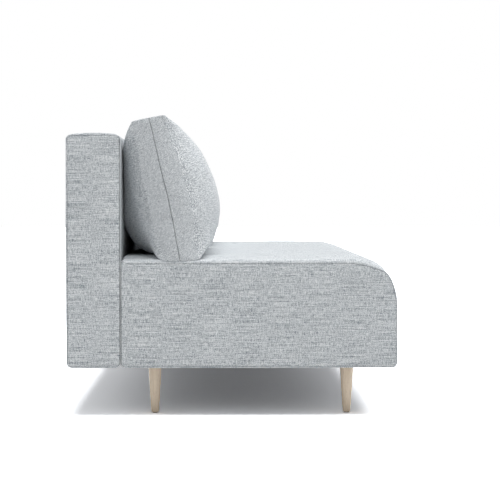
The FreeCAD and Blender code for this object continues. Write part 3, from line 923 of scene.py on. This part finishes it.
def leg(name, x, y, wood):
    """One turned, tapered leg with a rounded foot."""
    profile = [(0.0, LEG_FOOT_LEVEL)]
    for i in range(7):
        angle = QUARTER * i / 6
        reach = LEG_FOOT_RADIUS - LEG_FOOT_ROUND * (1 - math.sin(angle))
        profile.append((reach, LEG_FOOT_LEVEL + LEG_FOOT_ROUND * (1 - math.cos(angle))))
    for i in range(1, 25):
        share = i / 24
        z = LEG_FOOT_LEVEL + LEG_FOOT_ROUND + (LEG_TOP - LEG_FOOT_LEVEL - LEG_FOOT_ROUND) * share
        taper = LEG_FOOT_RADIUS + (LEG_TOP_RADIUS - LEG_FOOT_RADIUS) * share
        profile.append((taper + LEG_BELLY * math.sin(math.pi * share), z))
    profile.append((0.0, LEG_TOP))
    rows = []
    for radius, z in profile:
        ring = []
        for i in range(LEG_SIDES):
            turn = 2 * math.pi * i / LEG_SIDES
            ring.append(Vector((x + radius * math.cos(turn), y + radius * math.sin(turn), z)))
        rows.append(ring)
    sheet = Sheet(name)
    weave = [[(i / LEG_SIDES, z) for i in range(LEG_SIDES + 1)] for _, z in profile]
    sheet.patch(rows, weave, closed=True)
    return sheet.piece(wood, weld=0.00001)


# Pieces

cloth = slub_cloth("cover_cloth", slubs=1.5, contrast=0.78)
cushion_cloth = slub_cloth("cushion_cloth", slubs=0.4, contrast=0.95)
wood = beech("beech")

unit_cover(
    "seat",
    seat_outline(),
    seat_swell,
    joint_way=1,
    top_roll=SEAT_TOP_ROLL,
    top_seam_shade_shown=SEAT_TOP_SEAM_SHADE_SHOWN,
    cloth=cloth,
    nodes=(
        ("seat_cover_band", "seat_soft_layer"),
        ("seat_cover_left_end", "seat_left_end_pad"),
        ("seat_cover_right_end", "seat_right_end_pad"),
    ),
)
unit_cover(
    "back",
    back_outline(),
    back_swell,
    joint_way=-1,
    top_roll=BACK_TOP_ROLL,
    top_seam_shade_shown=SEAM_SHADE_SHOWN,
    cloth=cloth,
    nodes=(
        ("back_cover_band", "back_top_pad"),
        ("back_cover_left_end", "back_left_end_pad"),
        ("back_cover_right_end", "back_right_end_pad"),
    ),
)
for side in (-1, 1):
    cushion(side, cushion_cloth)
for node, places in LEG_PLACES.items():
    for x, y in places:
        end = "left" if x < 0 else "right"
        piece = leg(f"{node[:-1]}_{end}", x, y, wood)
        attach(piece, "sofa")
        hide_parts(node)

pine = raw_timber("pine", linear(214, 184, 138), linear(188, 150, 100))
plywood = raw_timber("plywood", linear(206, 178, 136), linear(180, 148, 106), (30, 30, 30))
hardboard = fibre_cloth("hardboard", linear(120, 86, 58), linear(98, 68, 46), 400.0)
foam = fibre_cloth("foam", linear(233, 224, 196), linear(220, 208, 176), 700.0)
fibre = fibre_cloth("fibre", linear(240, 240, 238), linear(226, 226, 224), 500.0)
felt = fibre_cloth("felt", linear(132, 131, 128), linear(96, 95, 93), 600.0)
webbing = fibre_cloth("webbing", linear(62, 62, 66), linear(40, 40, 44), 800.0)
dust_cloth = fibre_cloth("dust_cloth", linear(68, 68, 70), linear(56, 56, 58), 1200.0)
steel = plated_steel("zinc")
plastic = moulded_plastic("glide_plastic", linear(150, 140, 128), linear(138, 128, 116))
FINISHES = {
    "frame_timber": pine,
    "plywood": plywood,
    "hardboard": hardboard,
    "foam": foam,
    "fibre_filling": fibre,
    "felt": felt,
    "webbing": webbing,
    "dust_cloth": dust_cloth,
    "zinc_steel": steel,
    "glide_plastic": plastic,
}
for part in frame["record"]["subparts"]:
    finish = FINISHES.get(part["material_slot"])
    if finish:
        node = frame["nodes"][part["node"]]
        node.data.materials.clear()
        node.data.materials.append(finish)

# Floor, light and camera


def is_seen(n):
    """1 for what the camera sees straight, in a mirror or through glass."""
    path = n.add("LightPath")
    seen = n.math("ADD", path.outputs["Is Camera Ray"], path.outputs["Is Glossy Ray"])
    return n.math("ADD", seen, path.outputs["Is Transmission Ray"], clamp=True)


corners = [(-30, -30, 0), (30, -30, 0), (30, 30, 0), (-30, 30, 0)]
floor_mesh = bpy.data.meshes.new("floor")
floor_mesh.from_pydata(corners, [], [(0, 1, 2, 3)])
floor = bpy.data.objects.new("floor", floor_mesh)
bpy.context.scene.collection.objects.link(floor)
n = material_nodes("floor")
seen_floor = n.add("BsdfDiffuse", None, Color=(2.4, 2.44, 2.5, 1)).outputs[0]
bounce = n.add("BsdfDiffuse", None, Color=(0.65, 0.65, 0.65, 1)).outputs[0]
sides = {"1": bounce, "2": seen_floor}
floor_mesh.materials.append(n.join(n.add("MixShader", None, Fac=is_seen(n), **sides)))

# The world is white where it is seen. Its light is brighter low down and from front and rear.
world = bpy.data.worlds.new("studio")
bpy.context.scene.world = world
n = Nodes(world, "World")
way = n.add("SeparateXYZ", None, Vector=n.add("TexCoord").outputs["Generated"])
low, high, low_level, high_level = 0.35, 0.95, 0.78, 0.30
ends = {"From_Min": low, "From_Max": high, "To_Min": low_level, "To_Max": high_level}
sky = n.add("MapRange", {"interpolation_type": "SMOOTHSTEP"}, Value=way.outputs[2], **ends)
front_and_rear = n.math("MULTIPLY", n.math("POWER", way.outputs[1], 2.0), 0.80)
rearward = n.math("ADD", n.math("MULTIPLY", way.outputs[1], 0.14), 0.47)
level = n.math("MULTIPLY", sky.outputs[0], n.math("ADD", front_and_rear, rearward))
path = n.add("LightPath")
for ray in ("Is Camera Ray", "Is Glossy Ray", "Is Transmission Ray"):
    level = n.math("MAXIMUM", level, path.outputs[ray])
n.join(n.add("Background", None, Color=(1, 1, 1, 1), Strength=level))


def soft_sun(name, towards, strength, spread):
    """A broad far light that shines one way."""
    light = bpy.data.lights.new(name, "SUN")
    light.energy = strength
    light.angle = math.radians(spread)
    lamp = bpy.data.objects.new(name, light)
    lamp.rotation_euler = Vector(towards).to_track_quat("-Z", "Y").to_euler()
    bpy.context.scene.collection.objects.link(lamp)


soft_sun("top_light", towards=(0.05, 0.22, -1.0), strength=3.15, spread=50)

camera_data = bpy.data.cameras.new("camera")
camera_data.sensor_width = 36
camera_data.lens = 117.8
camera = bpy.data.objects.new("camera", camera_data)
camera.location = (-5.58, 0.029, 0.6255)
yaw, pitch = math.radians(0.98), math.radians(1.785)
level_part = math.cos(pitch)
forward = Vector((math.cos(yaw) * level_part, -math.sin(yaw) * level_part, -math.sin(pitch)))
camera.rotation_euler = forward.to_track_quat("-Z", "Y").to_euler()
bpy.context.scene.collection.objects.link(camera)
bpy.context.scene.camera = camera
bpy.context.scene.view_settings.view_transform = "Standard"
